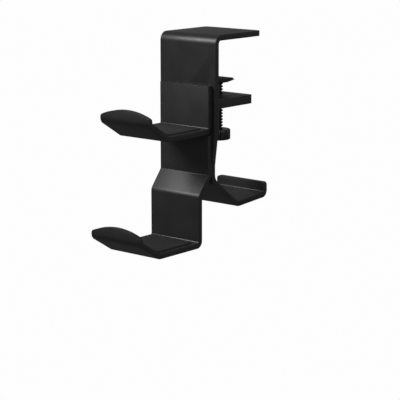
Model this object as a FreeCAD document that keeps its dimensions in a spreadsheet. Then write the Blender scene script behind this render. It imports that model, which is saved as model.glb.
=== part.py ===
import FreeCAD, Part
import math
import os
import Sketcher

# Clamp-on hanger that goes over the edge of a desk: a folded strip with a hook at its foot,
# two cradle trays on its front, and a jaw with a screw that presses up under the desk top.
# Lengths are in millimetres. +Z is up, -Y is the side that faces the user, and the origin is
# the middle of the pad that rests on the desk top.

doc = FreeCAD.newDocument("DeskHanger")
sheet = doc.addObject("Spreadsheet::Sheet", "Sizes")

SIZES = [
    ("wall", "5"),                  # thickness of every folded strip
    ("fold_inside", "1.5"),         # inside radius of the tight folds
    ("top_fold_inside", "3"),       # inside radius where the top plate meets the spine
    ("corner_round", "3"),          # rounded free corners
    ("bracket_width", "65"),
    ("top_reach", "65.5"),          # top plate, from the spine's front face to its end
    ("pad_thick", "1"),             # rubber between the top plate and the desk
    ("pad_inset", "6"),
    ("pad_middle", "35"),           # from the spine's front face to the origin
    ("hook_step", "4"),             # how much the spine narrows on each side
    ("taper_start", "79"),          # where the spine begins to narrow, below the desk face
    ("taper_end", "112"),
    ("hook_turn_drop", "126.8"),         # where the spine's face turns into the slope
    ("slope_reach", "36.1"),
    ("slope_drop", "28.4"),
    ("seat_reach", "46"),
    ("seat_rise", "3.2"),
    ("hook_lip", "14"),
    ("hook_fold_inside", "9"),
    ("tray_width", "57"),
    ("tray_top", "39"),             # top of the upper tray's back plate
    ("tray_drop", "82.6"),          # underside of the upper tray
    ("tray_floor", "58.4"),
    ("tray_slope_reach", "26"),
    ("tray_slope_rise", "16"),
    ("tray_lip", "12.4"),
    ("lip_arch", "72"),             # radius of the lip's arched top
    ("tray_pitch", "102"),          # from one tray down to the other
    ("tray_gap", "0.9"),            # between the upper tray and the lower tray's strip
    ("joggle_start", "38.5"),       # below the upper tray's underside
    ("joggle_drop", "17"),
    ("joggle_reach", "13.3"),
    ("liner_thick", "1.5"),
    ("liner_inset", "4"),
    ("jaw_width", "60"),
    ("jaw_drop", "52.5"),           # top of the jaw, below the desk face
    ("jaw_arm", "8"),
    ("jaw_beyond", "14.6"),         # from the screw's axis to the end of the arm
    ("jaw_flange", "4"),
    ("jaw_foot", "79"),             # foot of the jaw's flange, below the desk face
    ("jaw_fillet", "3"),
    ("screw_place", "42.9"),        # screw axis, back from the spine's front face
    ("screw_radius", "5"),
    ("screw_clear", "0.06"),
    ("neck_radius", "3"),
    ("neck_length", "3"),
    ("desk_gap", "38"),             # open height of the clamp as drawn
    ("foot_rubber", "1"),
    ("rubber_inset", "0.5"),        # the foot's rubber stops short of its edge
    ("foot_side", "22"),
    ("foot_rim", "0.9"),
    ("foot_taper", "2.4"),
    ("foot_hub", "13"),
    ("knob_top", "85.6"),
    ("knob_height", "9.6"),
    ("knob_radius", "12"),
    ("knob_round", "1.2"),
    ("knob_bore", "7"),
    ("flute_radius", "1.5"),
    ("flute_depth", "0.9"),
    ("flute_count", "18"),
    ("bolt_side", "16"),            # each bolt's distance from the middle
    ("jaw_bolt_drop", "69"),
    ("tray_bolt_drop", "101"),
    ("bolt_radius", "2"),
    ("bolt_clear", "0.1"),
    ("bolt_bite", "4"),             # depth of thread in the tray's plate
    ("head_radius", "3.8"),
    ("head_height", "2.2"),
    ("socket_width", "2.5"),
    ("socket_depth", "1.2"),
]
for row, (alias, number) in enumerate(SIZES, start=1):
    sheet.set(f"A{row}", alias)
    sheet.set(f"B{row}", number)
    sheet.setAlias(f"B{row}", alias)
doc.recompute()


class Size:
    """A length from the sheet: its formula goes to the features, its value to first guesses."""

    def __init__(self, formula):
        self.formula = str(formula)

    @property
    def value(self):
        return float(sheet.evalExpression(self.formula))

    def joined(self, sign, other):
        other = other if isinstance(other, Size) else Size(other)
        return Size(f"({self.formula} {sign} {other.formula})")

    def __add__(self, other):
        return self.joined("+", other)

    def __sub__(self, other):
        return self.joined("-", other)

    def __mul__(self, other):
        return self.joined("*", other)

    def __truediv__(self, other):
        return self.joined("/", other)

    def __neg__(self):
        return Size(f"(0 - {self.formula})")


def cell(alias):
    return Size(f"Sizes.{alias}")


ZERO = Size("0")
wall = cell("wall")
PLANE_FACING = {"Y": "XZ_Plane", "X": "YZ_Plane", "Z": "XY_Plane"}


def new_body(name):
    """An empty piece whose frame stands behind the spine's front face, moved to the origin."""
    body = doc.addObject("PartDesign::Body", name)
    body.Label = name
    body.setExpression("Placement.Base.y", "0 - Sizes.pad_middle")
    return body


def new_sketch(body, name, facing, offset=None):
    """A sketch on the body's own plane that faces along X, Y or Z, moved along its normal."""
    sketch = body.newObject("Sketcher::SketchObject", name)
    role = PLANE_FACING[facing]
    plane = next(f for f in body.Origin.OriginFeatures if f.Role == role)
    sketch.AttachmentSupport = [(plane, "")]
    sketch.MapMode = "FlatFace"
    if offset is not None:
        sketch.setExpression("AttachmentOffset.Base.z", offset.formula)
    return sketch


def bind(sketch, kind, geometry, size):
    """Adds one driven dimension, always positive, with its formula."""
    value = size.value
    if value < 0:
        size = -size
        value = -value
    index = sketch.addConstraint(Sketcher.Constraint(kind, *geometry, value))
    sketch.setExpression(f"Constraints[{index}]", size.formula)


def pin_point(sketch, line, end, across, up):
    """Holds one end of a line at (across, up) from the sketch's origin."""
    for kind, size in (("DistanceX", across), ("DistanceY", up)):
        value = size.value
        if abs(value) < 1e-9:
            axis = -2 if kind == "DistanceX" else -1
            sketch.addConstraint(Sketcher.Constraint("PointOnObject", line, end, axis))
        elif value > 0:
            bind(sketch, kind, (-1, 1, line, end), size)
        else:
            bind(sketch, kind, (line, end, -1, 1), size)


def closed_outline(sketch, points):
    """Straight lines through the points, closed, with every corner held by its formulas."""
    first = sketch.GeometryCount
    count = len(points)
    places = [FreeCAD.Vector(a.value, b.value, 0) for a, b in points]
    for i in range(count):
        sketch.addGeometry(Part.LineSegment(places[i], places[(i + 1) % count]), False)
    for i in range(count):
        after = first + (i + 1) % count
        sketch.addConstraint(Sketcher.Constraint("Coincident", first + i, 2, after, 1))
    for i, (across, up) in enumerate(points):
        pin_point(sketch, first + i, 1, across, up)


def circle(sketch, across, up, radius):
    centre = FreeCAD.Vector(across.value, up.value, 0)
    index = sketch.addGeometry(Part.Circle(centre, FreeCAD.Vector(0, 0, 1), radius.value), False)
    pin_point(sketch, index, 3, across, up)
    bind(sketch, "Radius", (index,), radius)


def inner_corners(outer, thick):
    """First guesses for the corners of the strip's inner face, on the left of the run."""
    places = [FreeCAD.Vector(a.value, b.value, 0) for a, b in outer]
    ways = [(q - p).normalize() for p, q in zip(places, places[1:])]
    sides = [FreeCAD.Vector(-w.y, w.x, 0) for w in ways]
    corners = [places[0] + sides[0] * thick]
    for i in range(1, len(ways)):
        bisector = (sides[i - 1] + sides[i]).normalize()
        corners.append(places[i] + bisector * (thick / bisector.dot(sides[i])))
    corners.append(places[-1] + sides[-1] * thick)
    return places, corners


def strip_outline(sketch, outer):
    """A strip of even thickness: its outer face follows the points and its inner face is
    parallel to it, on the left of the run."""
    places, corners = inner_corners(outer, wall.value)
    runs = len(outer) - 1
    for p, q in zip(places, places[1:]):
        sketch.addGeometry(Part.LineSegment(p, q), False)
    for p, q in zip(corners, corners[1:]):
        sketch.addGeometry(Part.LineSegment(p, q), False)
    end_cap = sketch.addGeometry(Part.LineSegment(places[-1], corners[-1]), False)
    start_cap = sketch.addGeometry(Part.LineSegment(corners[0], places[0]), False)
    for i in range(runs - 1):
        sketch.addConstraint(Sketcher.Constraint("Coincident", i, 2, i + 1, 1))
        sketch.addConstraint(Sketcher.Constraint("Coincident", runs + i, 2, runs + i + 1, 1))
    sketch.addConstraint(Sketcher.Constraint("Coincident", runs - 1, 2, end_cap, 1))
    sketch.addConstraint(Sketcher.Constraint("Coincident", 2 * runs - 1, 2, end_cap, 2))
    sketch.addConstraint(Sketcher.Constraint("Coincident", runs, 1, start_cap, 1))
    sketch.addConstraint(Sketcher.Constraint("Coincident", 0, 1, start_cap, 2))
    for i, (across, up) in enumerate(outer[:-1]):
        pin_point(sketch, i, 1, across, up)
    pin_point(sketch, runs - 1, 2, *outer[-1])
    for i in range(runs):
        sketch.addConstraint(Sketcher.Constraint("Parallel", runs + i, i))
        bind(sketch, "Distance", (runs + i, 1, i), wall)
    sketch.addConstraint(Sketcher.Constraint("Perpendicular", start_cap, 0))
    sketch.addConstraint(Sketcher.Constraint("Perpendicular", end_cap, runs - 1))
    return places, corners


def add_pad(body, name, sketch, length, centred=False, back=False):
    pad = body.newObject("PartDesign::Pad", name)
    pad.Profile = sketch
    pad.SideType = "Symmetric" if centred else "One side"
    pad.Reversed = back
    pad.setExpression("Length", length.formula)
    doc.recompute()
    return pad


def add_pocket(body, name, sketch, depth, back=False, centred=False):
    """Cuts the sketch out of the body, and says so at once if nothing was cut."""
    before = body.Shape.Volume
    pocket = body.newObject("PartDesign::Pocket", name)
    pocket.Profile = sketch
    pocket.SideType = "Symmetric" if centred else "One side"
    pocket.Reversed = back
    pocket.setExpression("Length", depth.formula)
    doc.recompute()
    if not body.Shape.Volume < before - 1e-6:
        raise RuntimeError(f"{body.Label}: {name} cut nothing")
    return pocket


def near(a, b):
    return abs(a - b) < 1e-3


def edges_along(body, axis, places):
    """Names of the straight edges along one axis whose line passes through a place. Places are
    (y, z) for axis x and (x, z) for axis y, in the sketch's frame."""
    found = []
    for number, edge in enumerate(body.Tip.Shape.Edges, start=1):
        a, b = edge.firstVertex().Point, edge.lastVertex().Point
        for p, q in places:
            if axis == "x":
                hit = all(near(v.y, p) and near(v.z, q) for v in (a, b))
            else:
                hit = all(near(v.x, p) and near(v.z, q) for v in (a, b))
            if hit and a.distanceToPoint(b) > 1e-3:
                found.append(f"Edge{number}")
    if not found:
        raise RuntimeError(f"{body.Label}: no edge to round at {places}")
    return sorted(set(found))


def round_edges(body, name, edges, radius):
    """Rounds the named edges of the body as it stands."""
    base = body.Tip
    fillet = body.newObject("PartDesign::Fillet", name)
    fillet.Base = (base, edges)
    fillet.setExpression("Radius", radius.formula)
    doc.recompute()
    return fillet


def fold_strip(body, outer, width, folds):
    """Pads the strip and rounds its folds. Each fold is (corner number, inside radius)."""
    sketch = new_sketch(body, "Profile", "X")
    places, corners = strip_outline(sketch, outer)
    add_pad(body, "Strip", sketch, width, centred=True)
    for corner, inside in folds:
        here, there = places[corner], corners[corner]
        before, after = places[corner - 1], places[corner + 1]
        turn = (here - before).cross(after - here).z
        tight, wide = (there, here) if turn > 0 else (here, there)
        spot = [(tight.x, tight.y)]
        round_edges(body, f"FoldInside{corner}", edges_along(body, "x", spot), inside)
        spot = [(wide.x, wide.y)]
        round_edges(body, f"FoldOutside{corner}", edges_along(body, "x", spot), inside + wall)


def bolt_rows(body, name, facing_offset, drops, radius, depth, back=False):
    """Pairs of round holes through the wall, one pair at each drop below the desk face."""
    sketch = new_sketch(body, name + "Sketch", "Y", facing_offset)
    for drop in drops:
        for side in (-cell("bolt_side"), cell("bolt_side")):
            circle(sketch, side, -drop, radius)
    return add_pocket(body, name, sketch, depth, back=back)


def build_bracket():
    """One strip: the plate over the desk, the spine down its edge, and the hook at the foot."""
    body = new_body("main_bracket")
    foot = cell("hook_turn_drop") + cell("slope_drop")
    back = cell("slope_reach") + cell("seat_reach")
    seat_end = foot - cell("seat_rise")
    outer = [
        (back, cell("hook_lip") - seat_end),
        (back, -seat_end),
        (cell("slope_reach"), -foot),
        (ZERO, -cell("hook_turn_drop")),
        (ZERO, cell("pad_thick") + wall),
        (cell("top_reach"), cell("pad_thick") + wall),
    ]
    outer.reverse()
    tight, loose = cell("fold_inside"), cell("hook_fold_inside")
    folds = [(1, cell("top_fold_inside")), (2, loose), (3, loose), (4, tight)]
    fold_strip(body, outer, cell("bracket_width"), folds)
    half = cell("bracket_width") / 2
    narrow = half - cell("hook_step")
    below = foot + wall
    sketch = new_sketch(body, "TaperSketch", "Y", -(back + wall))
    for sign in (1, -1):
        wide, slim = half * sign, narrow * sign
        clear = (half + wall) * sign
        closed_outline(sketch, [
            (wide, -cell("taper_start")),
            (slim, -cell("taper_end")),
            (slim, -below),
            (clear, -below),
            (clear, -cell("taper_start")),
        ])
    add_pocket(body, "Taper", sketch, back + wall * 2, back=True)
    bolt_rows(body, "Holes", -wall - wall, [cell("jaw_bolt_drop"), cell("tray_bolt_drop")],
              cell("bolt_radius") + cell("bolt_clear"), wall * 3, back=True)
    top = (cell("pad_thick") + wall).value
    lip_end = (cell("hook_lip") - seat_end).value
    reach = cell("top_reach").value
    corners = []
    for number, edge in enumerate(body.Tip.Shape.Edges, start=1):
        box = edge.BoundBox
        upright = box.XLength < 1e-3 and box.YLength < 1e-3 and near(box.ZLength, wall.value)
        if upright and near(box.YMin, reach) and near(box.ZMax, top):
            corners.append(f"Edge{number}")
        level = box.XLength < 1e-3 and box.ZLength < 1e-3 and near(box.YLength, wall.value)
        if level and near(box.ZMin, lip_end) and near(box.YMax, back.value):
            corners.append(f"Edge{number}")
    round_edges(body, "Corners", corners, cell("corner_round"))
    return body


def tray_run(front, underside):
    """Outer corners of a cradle from its back plate forward to the top of its lip."""
    floor = front + cell("tray_floor")
    end = floor + cell("tray_slope_reach")
    rise = underside - cell("tray_slope_rise")
    return [
        (-end, cell("tray_lip") - rise),
        (-end, -rise),
        (-floor, -underside),
        (-front, -underside),
    ]


def arch_lip(body, front, underside):
    """Cuts the lip's top to an arch and rounds its two ends."""
    end = front + cell("tray_floor") + cell("tray_slope_reach")
    crown = cell("tray_lip") + cell("tray_slope_rise") - underside
    half = cell("tray_width") / 2
    radius = cell("lip_arch")
    centre = crown - radius
    sketch = new_sketch(body, "ArchSketch", "Y", end + wall)
    spread = math.asin(half.value / radius.value)
    reach = radius.value * math.cos(spread)
    left = FreeCAD.Vector(-half.value, centre.value + reach, 0)
    right = FreeCAD.Vector(half.value, centre.value + reach, 0)
    over = crown + wall
    middle = FreeCAD.Vector(0, centre.value, 0)
    arc = Part.ArcOfCircle(Part.Circle(middle, FreeCAD.Vector(0, 0, 1), radius.value),
                           math.pi / 2 - spread, math.pi / 2 + spread)
    sketch.addGeometry(arc, False)
    top_left = FreeCAD.Vector(-half.value, over.value, 0)
    top_right = FreeCAD.Vector(half.value, over.value, 0)
    for p, q in ((left, top_left), (top_left, top_right), (top_right, right)):
        sketch.addGeometry(Part.LineSegment(p, q), False)
    joins = ((0, 2, 1, 1), (1, 2, 2, 1), (2, 2, 3, 1), (3, 2, 0, 1))
    for join in joins:
        sketch.addConstraint(Sketcher.Constraint("Coincident", *join))
    sketch.addConstraint(Sketcher.Constraint("Vertical", 1))
    sketch.addConstraint(Sketcher.Constraint("Vertical", 3))
    pin_point(sketch, 0, 3, ZERO, centre)
    bind(sketch, "Radius", (0,), radius)
    pin_point(sketch, 2, 1, -half, over)
    pin_point(sketch, 2, 2, half, over)
    add_pocket(body, "Arch", sketch, wall * 3, back=False)
    corners = edges_along(body, "y", [(-half.value, left.y), (half.value, left.y)])
    round_edges(body, "LipCorners", corners, cell("corner_round"))


def build_upper_tray():
    body = new_body("upper_tray")
    outer = tray_run(ZERO, cell("tray_drop")) + [(ZERO, -cell("tray_top"))]
    tight = cell("fold_inside")
    fold_strip(body, outer, cell("tray_width"), [(i, tight) for i in (1, 2, 3)])
    arch_lip(body, ZERO, cell("tray_drop"))
    bolt_rows(body, "Holes", ZERO, [cell("jaw_bolt_drop")],
              cell("bolt_radius") + cell("bolt_clear"), cell("bolt_bite") + cell("bolt_clear"),
              back=True)
    return body


def build_lower_tray():
    body = new_body("lower_tray")
    front = cell("joggle_reach")
    underside = cell("tray_drop") + cell("tray_pitch")
    start = cell("tray_drop") + cell("joggle_start")
    outer = tray_run(front, underside) + [
        (-front, -(start + cell("joggle_drop"))),
        (ZERO, -start),
        (ZERO, -(cell("tray_drop") + cell("tray_gap"))),
    ]
    tight = cell("fold_inside")
    fold_strip(body, outer, cell("tray_width"), [(i, tight) for i in (1, 2, 3, 4, 5)])
    arch_lip(body, front, underside)
    bolt_rows(body, "Holes", ZERO, [cell("tray_bolt_drop")],
              cell("bolt_radius") + cell("bolt_clear"), cell("bolt_bite") + cell("bolt_clear"),
              back=True)
    return body


def build_jaw():
    """An angle on the spine's back: a thick arm with the threaded bore and a thinner flange."""
    body = new_body("clamp_jaw")
    top, arm = cell("jaw_drop"), cell("jaw_arm")
    root = wall + cell("jaw_flange")
    reach = cell("screw_place") + cell("jaw_beyond")
    sketch = new_sketch(body, "Profile", "X")
    closed_outline(sketch, [
        (wall, -top),
        (reach, -top),
        (reach, -(top + arm)),
        (root, -(top + arm)),
        (root, -cell("jaw_foot")),
        (wall, -cell("jaw_foot")),
    ])
    add_pad(body, "Angle", sketch, cell("jaw_width"), centred=True)
    inside = edges_along(body, "x", [(root.value, -(top + arm).value)])
    round_edges(body, "RootFillet", inside, cell("jaw_fillet"))
    ends = []
    for number, edge in enumerate(body.Tip.Shape.Edges, start=1):
        box = edge.BoundBox
        if box.XLength < 1e-3 and near(box.YMin, reach.value) and box.YLength < 1e-3:
            ends.append(f"Edge{number}")
    round_edges(body, "EndCorners", ends, cell("corner_round"))
    bore = new_sketch(body, "BoreSketch", "Z", -top)
    circle(bore, ZERO, cell("screw_place"), cell("screw_radius") + cell("screw_clear"))
    add_pocket(body, "Bore", bore, arm * 2, centred=True)
    bolt_rows(body, "Holes", -root - wall, [cell("jaw_bolt_drop")],
              cell("bolt_radius") + cell("bolt_clear"), wall * 3, back=True)
    return body


def block(name, x_size, y_from, y_size, z_from, z_size, corner):
    """A flat pad centred on x, with rounded upright corners."""
    body = new_body(name)
    sketch = new_sketch(body, "Outline", "Z", z_from)
    closed_outline(sketch, [
        (-(x_size / 2), y_from),
        (x_size / 2, y_from),
        (x_size / 2, y_from + y_size),
        (-(x_size / 2), y_from + y_size),
    ])
    add_pad(body, "Pad", sketch, z_size)
    edges = []
    for number, edge in enumerate(body.Tip.Shape.Edges, start=1):
        box = edge.BoundBox
        if box.XLength < 1e-3 and box.YLength < 1e-3:
            edges.append(f"Edge{number}")
    round_edges(body, "Corners", edges, corner)
    return body


def build_pads():
    """The rubber between the plate and the desk, and the liners on the two tray floors."""
    inset = cell("pad_inset")
    start = wall + inset / 2
    block("desk_pad", cell("bracket_width") - inset * 2, start,
          (cell("pad_middle") - start) * 2, ZERO, cell("pad_thick"), cell("corner_round"))
    lining = cell("liner_inset")
    for name, front, underside in (
        ("upper_tray_liner", ZERO, cell("tray_drop")),
        ("lower_tray_liner", cell("joggle_reach"), cell("tray_drop") + cell("tray_pitch")),
    ):
        depth = cell("tray_floor") - wall - lining * 2
        block(name, cell("tray_width") - lining * 2, -(front + cell("tray_floor")) + lining, depth,
              wall - underside, cell("liner_thick"), cell("corner_round"))


def build_foot():
    """The square foot on the screw's tip, tapered underneath, and its rubber face."""
    body = new_body("pressure_foot")
    half = cell("foot_side") / 2
    hub = cell("foot_hub") / 2
    face = cell("desk_gap") + cell("foot_rubber")
    middle = cell("screw_place")
    rim = face + cell("foot_rim")

    def square(name, side, height):
        sketch = new_sketch(body, name, "Z", height)
        closed_outline(sketch, [
            (-side, middle - side),
            (side, middle - side),
            (side, middle + side),
            (-side, middle + side),
        ])
        return sketch

    add_pad(body, "Rim", square("RimSketch", half, -rim), cell("foot_rim"))
    loft = body.newObject("PartDesign::AdditiveLoft", "Underside")
    loft.Profile = square("TaperTop", half, -rim)
    loft.Sections = [square("TaperFoot", hub, -(rim + cell("foot_taper")))]
    loft.Ruled = True
    doc.recompute()
    socket = new_sketch(body, "SocketSketch", "Z", -(rim + cell("foot_taper")))
    circle(socket, ZERO, middle, cell("neck_radius") + cell("screw_clear"))
    add_pocket(body, "Socket", socket, cell("neck_length"), back=True)
    inset = cell("rubber_inset")
    side = cell("foot_side") - inset * 2
    block("foot_rubber", side, middle - half + inset, side, -face, cell("foot_rubber"),
          cell("foot_rubber"))


def build_screw():
    """A turned rod: threaded shank, and a slim neck that turns in the foot's socket."""
    body = new_body("clamp_screw")
    clear = cell("screw_clear")
    foot = cell("desk_gap") + cell("foot_rubber") + cell("foot_rim") + cell("foot_taper")
    shoulder = foot + clear
    end = cell("knob_top") + cell("knob_bore") - clear
    tip = foot - cell("neck_length") + clear
    rod = new_sketch(body, "ShankSketch", "Z", -end)
    circle(rod, ZERO, cell("screw_place"), cell("screw_radius"))
    add_pad(body, "Shank", rod, end - shoulder)
    neck = new_sketch(body, "NeckSketch", "Z", -shoulder)
    circle(neck, ZERO, cell("screw_place"), cell("neck_radius"))
    add_pad(body, "Neck", neck, shoulder - tip)
    return body


def build_knob():
    """A moulded thumb knob with upright flutes round its rim."""
    body = new_body("clamp_knob")
    top = cell("knob_top")
    foot = top + cell("knob_height")
    disc = new_sketch(body, "DiscSketch", "Z", -foot)
    circle(disc, ZERO, ZERO, cell("knob_radius"))
    add_pad(body, "Disc", disc, cell("knob_height"))
    rims = []
    for number, edge in enumerate(body.Tip.Shape.Edges, start=1):
        if edge.BoundBox.ZLength < 1e-3:
            rims.append(f"Edge{number}")
    round_edges(body, "Rims", rims, cell("knob_round"))
    bore = new_sketch(body, "BoreSketch", "Z", -top)
    circle(bore, ZERO, ZERO, cell("screw_radius") + cell("screw_clear"))
    add_pocket(body, "Bore", bore, cell("knob_bore"))
    flute = new_sketch(body, "FluteSketch", "Z", -top)
    circle(flute, cell("knob_radius") + cell("flute_radius") - cell("flute_depth"), ZERO,
           cell("flute_radius"))
    cut = add_pocket(body, "Flute", flute, cell("knob_height"))
    ring = body.newObject("PartDesign::PolarPattern", "Flutes")
    ring.Originals = [cut]
    ring.Axis = (disc, ["N_Axis"])
    ring.Angle = 360
    ring.setExpression("Occurrences", cell("flute_count").formula)
    body.Tip = ring
    body.setExpression("Placement.Base.y", (cell("screw_place") - cell("pad_middle")).formula)
    doc.recompute()
    return body


def build_bolt(name, side, drop, under_head, bite_from):
    """A button-head socket bolt that points forward, its head on the back of the stack."""
    body = new_body(name)
    head = new_sketch(body, "HeadSketch", "Y", -(under_head + cell("head_height")))
    circle(head, side, -drop, cell("head_radius"))
    add_pad(body, "Head", head, cell("head_height"))
    crown = []
    for number, edge in enumerate(body.Tip.Shape.Edges, start=1):
        box = edge.BoundBox
        if box.YLength < 1e-3 and near(box.YMin, (under_head + cell("head_height")).value):
            crown.append(f"Edge{number}")
    round_edges(body, "Crown", crown, cell("head_height") / 2)
    shank = new_sketch(body, "ShankSketch", "Y", -under_head)
    circle(shank, side, -drop, cell("bolt_radius"))
    add_pad(body, "Shank", shank, under_head + bite_from)
    key = new_sketch(body, "KeySketch", "Y", -(under_head + cell("head_height")))
    circle(key, side, -drop, cell("socket_width") / 2)
    add_pocket(body, "Key", key, cell("socket_depth"), back=True)
    return body


def build_bolts():
    bite = cell("bolt_bite") - cell("bolt_clear")
    for hand, side in (("left", -cell("bolt_side")), ("right", cell("bolt_side"))):
        build_bolt(f"jaw_bolt_{hand}", side, cell("jaw_bolt_drop"), wall + cell("jaw_flange"), bite)
        build_bolt(f"tray_bolt_{hand}", side, cell("tray_bolt_drop"), wall, bite)


build_bracket()
build_upper_tray()
build_lower_tray()
build_jaw()
build_pads()
build_foot()
build_screw()
build_knob()
build_bolts()
doc.recompute()

for item in doc.Objects:
    if "Invalid" in item.State or "Error" in item.State:
        raise RuntimeError(f"{item.Name} failed: {item.State}")
pieces = [item for item in doc.Objects if item.TypeId == "PartDesign::Body"]
for piece in pieces:
    if piece.Shape.isNull() or not piece.Shape.isValid() or len(piece.Shape.Solids) != 1:
        raise RuntimeError(f"{piece.Label} is not one valid solid")
os.makedirs("parts", exist_ok=True)
for piece in pieces:
    piece.Shape.exportStep(f"parts/{piece.Label}.step")
    print(piece.Label, round(piece.Shape.Volume), piece.Shape.BoundBox)
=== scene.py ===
import bmesh
import bpy
import math
from mathutils import Matrix, Vector


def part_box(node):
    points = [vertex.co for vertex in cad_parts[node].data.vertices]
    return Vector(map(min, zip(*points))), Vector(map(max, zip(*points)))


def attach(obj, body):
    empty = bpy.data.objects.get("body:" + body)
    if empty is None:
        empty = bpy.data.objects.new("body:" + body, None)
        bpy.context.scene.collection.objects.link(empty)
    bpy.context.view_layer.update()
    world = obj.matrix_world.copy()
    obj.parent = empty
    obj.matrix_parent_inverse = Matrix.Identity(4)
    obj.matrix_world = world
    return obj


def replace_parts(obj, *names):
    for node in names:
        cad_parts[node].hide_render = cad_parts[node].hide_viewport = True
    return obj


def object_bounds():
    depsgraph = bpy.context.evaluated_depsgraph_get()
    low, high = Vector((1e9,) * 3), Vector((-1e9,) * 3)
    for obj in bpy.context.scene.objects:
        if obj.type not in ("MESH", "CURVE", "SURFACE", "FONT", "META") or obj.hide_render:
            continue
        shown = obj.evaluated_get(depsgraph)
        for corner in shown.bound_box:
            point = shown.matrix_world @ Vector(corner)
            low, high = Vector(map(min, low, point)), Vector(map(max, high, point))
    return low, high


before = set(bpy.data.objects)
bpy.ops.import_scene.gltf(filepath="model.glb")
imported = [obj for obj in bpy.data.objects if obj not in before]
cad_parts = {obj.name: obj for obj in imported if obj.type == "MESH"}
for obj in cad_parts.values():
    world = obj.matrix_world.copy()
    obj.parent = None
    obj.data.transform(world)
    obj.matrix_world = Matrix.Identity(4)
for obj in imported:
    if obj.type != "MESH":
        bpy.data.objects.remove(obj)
cad_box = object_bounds()

# The folded strips are 5 mm metal, laser cut, bent on a press brake and coated with a fine matt
# black powder. Their cut edges are slightly rounded. Each strip is the solid's own form with its
# edges broken.
MM = 0.001
STRIP_NODES = ("main_bracket", "upper_tray", "lower_tray", "clamp_jaw")
EDGE_BREAK = 0.7 * MM
EDGE_STEPS = 3
SHARP_ANGLE = math.radians(28)
FLAT_ANGLE = math.radians(0.6)
WELD = 0.001 * MM
GRAIN_HEIGHT = 0.05 * MM
STRIP_BLACK = (0.0075, 0.0075, 0.008, 1)
STRIP_BRIGHT = (0.013, 0.013, 0.0135, 1)
STRIP_GLOSS = 0.42


def copy_of_node(node, name):
    """A merged copy of a solid's mesh, with its coplanar triangles joined again."""
    work = bmesh.new()
    work.from_mesh(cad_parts[node].data)
    bmesh.ops.remove_doubles(work, verts=work.verts, dist=WELD)
    bmesh.ops.dissolve_limit(work, angle_limit=FLAT_ANGLE, verts=work.verts, edges=work.edges)
    mesh = bpy.data.meshes.new(name)
    work.to_mesh(mesh)
    work.free()
    return mesh


def place_piece(name, mesh, body, material):
    piece = bpy.data.objects.new(name, mesh)
    bpy.context.scene.collection.objects.link(piece)
    mesh.materials.clear()
    mesh.materials.append(material)
    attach(piece, body)
    return piece


def shade_by_angle(work):
    """Smooth shading, broken only where two faces meet sharply."""
    for face in work.faces:
        face.smooth = True
    for edge in work.edges:
        edge.smooth = not edge.is_manifold or edge.calc_face_angle(0) < SHARP_ANGLE


def soften_edges(mesh, width, steps):
    """Breaks every sharp edge and leaves the folds smooth."""
    work = bmesh.new()
    work.from_mesh(mesh)
    sharp = [e for e in work.edges if e.is_manifold and e.calc_face_angle(0) > SHARP_ANGLE]
    bmesh.ops.bevel(work, geom=sharp, offset=width, offset_type="OFFSET", affect="EDGES",
                    segments=steps, profile=0.5, material=-1, clamp_overlap=True)
    shade_by_angle(work)
    work.to_mesh(mesh)
    work.free()


def grain_group():
    """Fine and broad noise in object space: a mask for colour and a height for the bump."""
    group = bpy.data.node_groups.new("powder_grain", "ShaderNodeTree")
    group.interface.new_socket("Fine Scale", in_out="INPUT", socket_type="NodeSocketFloat")
    group.interface.new_socket("Broad Scale", in_out="INPUT", socket_type="NodeSocketFloat")
    group.interface.new_socket("Height", in_out="OUTPUT", socket_type="NodeSocketFloat")
    group.interface.new_socket("Mottle", in_out="OUTPUT", socket_type="NodeSocketFloat")
    nodes, links = group.nodes, group.links
    inside = nodes.new("NodeGroupInput")
    outside = nodes.new("NodeGroupOutput")
    place = nodes.new("ShaderNodeTexCoord")
    fine = nodes.new("ShaderNodeTexNoise")
    fine.inputs["Detail"].default_value = 3
    broad = nodes.new("ShaderNodeTexNoise")
    broad.inputs["Detail"].default_value = 4
    for texture, name in ((fine, "Fine Scale"), (broad, "Broad Scale")):
        links.new(place.outputs["Object"], texture.inputs["Vector"])
        links.new(inside.outputs[name], texture.inputs["Scale"])
    links.new(fine.outputs["Fac"], outside.inputs["Height"])
    links.new(broad.outputs["Fac"], outside.inputs["Mottle"])
    return group


GRAIN = grain_group()


def grained_material(name, dark, light, gloss, gloss_spread, fine, broad, depth, metal=0.0):
    """A finish whose colour and gloss drift with the broad noise, bumped by the fine one."""
    material = bpy.data.materials.new(name)
    material.use_nodes = True
    nodes, links = material.node_tree.nodes, material.node_tree.links
    shader = nodes["Principled BSDF"]
    grain = nodes.new("ShaderNodeGroup")
    grain.node_tree = GRAIN
    grain.inputs["Fine Scale"].default_value = fine
    grain.inputs["Broad Scale"].default_value = broad
    colour = nodes.new("ShaderNodeMix")
    colour.data_type = "RGBA"
    colour.inputs["A"].default_value = dark
    colour.inputs["B"].default_value = light
    links.new(grain.outputs["Mottle"], colour.inputs["Factor"])
    links.new(colour.outputs["Result"], shader.inputs["Base Color"])
    rough = nodes.new("ShaderNodeMapRange")
    rough.inputs["To Min"].default_value = gloss - gloss_spread
    rough.inputs["To Max"].default_value = gloss + gloss_spread
    links.new(grain.outputs["Mottle"], rough.inputs["Value"])
    links.new(rough.outputs["Result"], shader.inputs["Roughness"])
    bump = nodes.new("ShaderNodeBump")
    bump.inputs["Strength"].default_value = depth
    bump.inputs["Distance"].default_value = GRAIN_HEIGHT
    links.new(grain.outputs["Height"], bump.inputs["Height"])
    links.new(bump.outputs["Normal"], shader.inputs["Normal"])
    shader.inputs["Metallic"].default_value = metal
    return material


powder = grained_material("black_powder_coat", STRIP_BLACK, STRIP_BRIGHT, STRIP_GLOSS, 0.06,
                          fine=2600, broad=60, depth=0.35)


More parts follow.
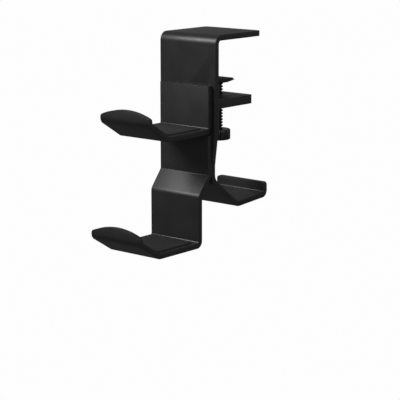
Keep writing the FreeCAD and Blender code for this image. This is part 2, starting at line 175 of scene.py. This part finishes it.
def dress(node, name, body, material, width, steps):
    """The node's own form with its edges broken by a width, standing for the node."""
    mesh = copy_of_node(node, name)
    soften_edges(mesh, width, steps)
    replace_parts(place_piece(name, mesh, body, material), node)


for node in STRIP_NODES:
    dress(node, node + "_coated", "frame", powder, EDGE_BREAK, EDGE_STEPS)

# The foot is a small pressed and coated plate with a tapered underside. It sits on the screw's
# tip and takes the same powder coat as the strips.
FOOT_EDGE = 0.25 * MM
SMALL_EDGE_STEPS = 2
dress("pressure_foot", "foot_plate", "foot", powder, FOOT_EDGE, SMALL_EDGE_STEPS)

# Thin die-cut rubber sheets are glued under the top plate, on the foot and on the tray floors.
# They keep the desk and what hangs in the trays from being scratched.
RUBBER_NODES = {"desk_pad": "frame", "foot_rubber": "foot", "upper_tray_liner": "frame",
                "lower_tray_liner": "frame"}
RUBBER_EDGE = 0.2 * MM
RUBBER_DARK = (0.008, 0.008, 0.008, 1)
RUBBER_LIGHT = (0.014, 0.014, 0.014, 1)
rubber = grained_material("black_sheet_rubber", RUBBER_DARK, RUBBER_LIGHT, 0.78, 0.08,
                          fine=1400, broad=90, depth=0.6)
for node, body in RUBBER_NODES.items():
    dress(node, node + "_sheet", body, rubber, RUBBER_EDGE, SMALL_EDGE_STEPS)

# The clamp screw is a rolled steel rod with a coarse right-hand thread and a dark oxide finish.
# Its slim neck turns in the foot, and its lower end is pressed into the knob.
OXIDE_DARK = (0.03, 0.03, 0.032, 1)
OXIDE_LIGHT = (0.06, 0.06, 0.064, 1)
steel = grained_material("dark_oxide_steel", OXIDE_DARK, OXIDE_LIGHT, 0.36, 0.08,
                         fine=1800, broad=150, depth=0.15, metal=1.0)
PITCH = 2.8 * MM
THREAD_DEPTH = 1.2 * MM
THREAD_STEPS = 40
NECK = 3 * MM
NECK_SHAKE = 0.06 * MM
TURN_WELD = 0.002 * MM
ROOT_SHARE = 0.18
CREST_START = 0.46
CREST_END = 0.64
FLANK_END = 0.92
low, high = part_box("clamp_screw")
axis = Vector(((low.x + high.x) / 2, (low.y + high.y) / 2, 0))
crest = (high.x - low.x) / 2
foot_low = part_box("pressure_foot")[0].z
shoulder = foot_low - NECK_SHAKE


def threaded_rod(bottom, top, radius, depth, pitch):
    """The thread's profile is spun round the axis while it climbs one pitch, and the turns join."""
    work = bmesh.new()
    root = radius - depth
    profile = ((root, 0.0), (root, ROOT_SHARE), (radius, CREST_START), (radius, CREST_END),
               (root, FLANK_END))
    turns = int((top - bottom) / pitch) + 2
    start = bottom - pitch
    line = []
    for turn in range(turns):
        for out, share in profile:
            line.append(work.verts.new((out, 0, start + (turn + share) * pitch)))
    line.append(work.verts.new((root, 0, start + turns * pitch)))
    edges = [work.edges.new(pair) for pair in zip(line, line[1:])]
    bmesh.ops.spin(work, geom=line + edges, cent=(0, 0, 0), axis=(0, 0, 1), angle=math.tau,
                   steps=THREAD_STEPS, dvec=(0, 0, pitch / THREAD_STEPS), use_duplicate=False)
    bmesh.ops.remove_doubles(work, verts=work.verts, dist=TURN_WELD)
    for level, side in ((bottom, -1), (top, 1)):
        cut = bmesh.ops.bisect_plane(work, geom=work.verts[:] + work.edges[:] + work.faces[:],
                                     plane_co=(0, 0, level), plane_no=(0, 0, side),
                                     clear_outer=True)
        rim = [e for e in cut["geom_cut"] if isinstance(e, bmesh.types.BMEdge)]
        bmesh.ops.edgeloop_fill(work, edges=rim)
    bmesh.ops.recalc_face_normals(work, faces=work.faces)
    return work


rod = threaded_rod(low.z, shoulder, crest, THREAD_DEPTH, PITCH)
bmesh.ops.create_cone(rod, cap_ends=True, segments=THREAD_STEPS, radius1=NECK, radius2=NECK,
                      depth=high.z - shoulder,
                      matrix=Matrix.Translation((0, 0, (high.z + shoulder) / 2)))
bmesh.ops.translate(rod, verts=rod.verts, vec=axis)
shade_by_angle(rod)
mesh = bpy.data.meshes.new("threaded_screw")
rod.to_mesh(mesh)
rod.free()
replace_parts(place_piece("threaded_screw", mesh, "screw", steel), "clamp_screw")

# The thumb knob is moulded plastic with upright flutes round its rim for grip. It is glossier
# than the coated metal round it.
KNOB_EDGE = 0.15 * MM
KNOB_DARK = (0.006, 0.006, 0.0065, 1)
KNOB_LIGHT = (0.011, 0.011, 0.012, 1)
knob_plastic = grained_material("moulded_knob", KNOB_DARK, KNOB_LIGHT, 0.28, 0.05,
                                fine=700, broad=80, depth=0.12)
dress("clamp_knob", "thumb_knob", "screw", knob_plastic, KNOB_EDGE,
      SMALL_EDGE_STEPS)

# Four dark button-head bolts hold the jaw and the trays to the spine from behind. Each has a
# key socket sunk in its head.
BOLT_EDGE = 0.1 * MM
for node in ("jaw_bolt_left", "jaw_bolt_right", "tray_bolt_left", "tray_bolt_right"):
    dress(node, node + "_head", "frame", steel, BOLT_EDGE, SMALL_EDGE_STEPS)

# The studio is a pale floor with soft light from above, the front and the right.
# The camera stands to the right of the front and looks slightly down, as in the photograph.
SWEEP_DROP = 1.5
SWEEP_REACH = 6.0
floor_mesh = bpy.data.meshes.new("studio_sweep")
sweep = bmesh.new()
bmesh.ops.create_grid(sweep, x_segments=1, y_segments=1, size=SWEEP_REACH)
bmesh.ops.translate(sweep, verts=sweep.verts, vec=(0, 0, cad_box[0][2] - SWEEP_DROP))
sweep.to_mesh(floor_mesh)
sweep.free()
floor = bpy.data.objects.new("studio_sweep", floor_mesh)
bpy.context.scene.collection.objects.link(floor)
PALE = (0.985, 0.985, 0.985, 1)
SEEN_LIGHT = 1.0
GIVEN_LIGHT = 0.17
FLOOR_GREY = (0.25, 0.25, 0.25, 1)


def seen_and_given(tree, seen, given, target):
    """Joins two shaders: one for what the camera sees of the studio, one for what lights it."""
    path = tree.nodes.new("ShaderNodeLightPath")
    mix = tree.nodes.new("ShaderNodeMixShader")
    tree.links.new(path.outputs["Is Camera Ray"], mix.inputs["Fac"])
    tree.links.new(given, mix.inputs[1])
    tree.links.new(seen, mix.inputs[2])
    tree.links.new(mix.outputs["Shader"], target)


pale = bpy.data.materials.new("pale_studio")
pale.use_nodes = True
tree = pale.node_tree
tree.nodes["Principled BSDF"].inputs["Base Color"].default_value = FLOOR_GREY
tree.nodes["Principled BSDF"].inputs["Roughness"].default_value = 0.9
glow = tree.nodes.new("ShaderNodeEmission")
glow.inputs["Color"].default_value = PALE
seen_and_given(tree, glow.outputs["Emission"], tree.nodes["Principled BSDF"].outputs["BSDF"],
               tree.nodes["Material Output"].inputs["Surface"])
floor_mesh.materials.append(pale)

world = bpy.data.worlds.new("studio_light")
world.use_nodes = True
tree = world.node_tree
tree.nodes["Background"].inputs["Color"].default_value = (1, 1, 1, 1)
tree.nodes["Background"].inputs["Strength"].default_value = GIVEN_LIGHT
shown = tree.nodes.new("ShaderNodeBackground")
shown.inputs["Color"].default_value = PALE
shown.inputs["Strength"].default_value = SEEN_LIGHT
seen_and_given(tree, shown.outputs["Background"], tree.nodes["Background"].outputs["Background"],
               tree.nodes["World Output"].inputs["Surface"])
bpy.context.scene.world = world
bpy.context.scene.view_settings.view_transform = "Standard"


def soft_light(name, place, aim, size, power):
    data = bpy.data.lights.new(name, "AREA")
    data.shape = "DISK"
    data.size = size
    data.energy = power
    lamp = bpy.data.objects.new(name, data)
    lamp.location = place
    lamp.rotation_euler = (Vector(aim) - Vector(place)).to_track_quat("-Z", "Y").to_euler()
    bpy.context.scene.collection.objects.link(lamp)


MIDDLE = (0, -0.04, -0.09)
soft_light("key", (-0.9, -1.3, 1.0), MIDDLE, 0.9, 30)
soft_light("right_fill", (1.4, -0.4, 0.5), MIDDLE, 0.8, 9)
soft_light("top", (0.1, 0.3, 1.4), MIDDLE, 0.9, 5)

SENSOR = 36.0
FOCAL_PIXELS = 1463.0
IMAGE_SIDE = 400.0
AZIMUTH = math.radians(40)
STAND_OFF = 1.342
SIDE_SHIFT = 0.0113
EYE_HEIGHT = 0.1341
HORIZON_ROW = -106.0
SPINE_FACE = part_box("main_bracket")[0].y
forward = Vector((-math.sin(AZIMUTH), math.cos(AZIMUTH), 0))
rightward = Vector((math.cos(AZIMUTH), math.sin(AZIMUTH), 0))
eye = Vector((0, SPINE_FACE, EYE_HEIGHT)) - forward * STAND_OFF + rightward * SIDE_SHIFT
tilt = math.atan2(IMAGE_SIDE / 2 - HORIZON_ROW, FOCAL_PIXELS)
camera_data = bpy.data.cameras.new("view")
camera_data.sensor_width = SENSOR
camera_data.lens = FOCAL_PIXELS / math.cos(tilt) * SENSOR / IMAGE_SIDE
camera = bpy.data.objects.new("view", camera_data)
camera.location = eye
look = forward * math.cos(tilt) - Vector((0, 0, 1)) * math.sin(tilt)
camera.rotation_euler = look.to_track_quat("-Z", "Y").to_euler()
bpy.context.scene.collection.objects.link(camera)
bpy.context.scene.camera = camera
